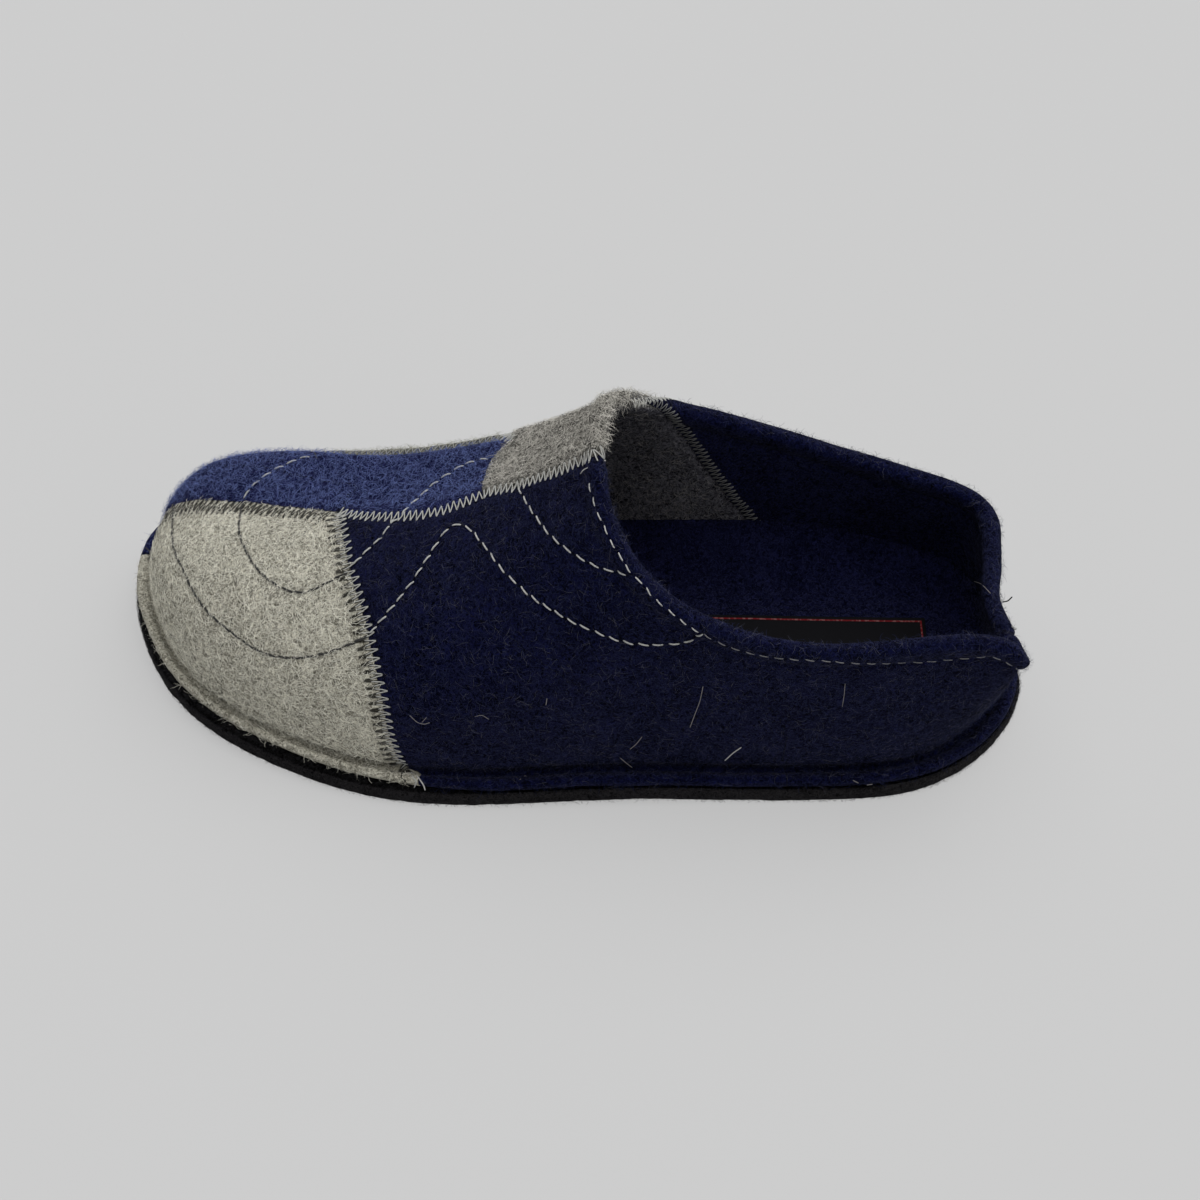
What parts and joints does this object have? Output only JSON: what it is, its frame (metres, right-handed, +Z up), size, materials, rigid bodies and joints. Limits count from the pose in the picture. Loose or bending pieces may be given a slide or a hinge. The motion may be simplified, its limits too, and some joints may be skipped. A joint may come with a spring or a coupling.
{
  "type": "felt slipper",
  "caption": "Backed slip-on slipper for the left foot: thick patchwork felt upper with a stitched-out flange on a flat felt sole, contoured footbed inside.",
  "frame": {"origin": "on the floor, in the middle of the box round the whole slipper", "axes": "+X to the toe, +Y to the outer side of the foot, +Z up"},
  "size_m": [0.2876, 0.117, 0.1005],
  "materials": {
    "outsole": "dense black felt, matt and slightly fuzzy",
    "upper": "thick wool felt, matt; navy with light grey, royal blue and taupe panels",
    "insole": "navy wool felt, matt",
    "insole_label": "fine woven satin label, blank"
  },
  "bodies": {
    "root": {"outsole": "outsole", "upper": "upper", "insole": "insole", "insole_label": "insole_label"}
  },
  "joints": []
}
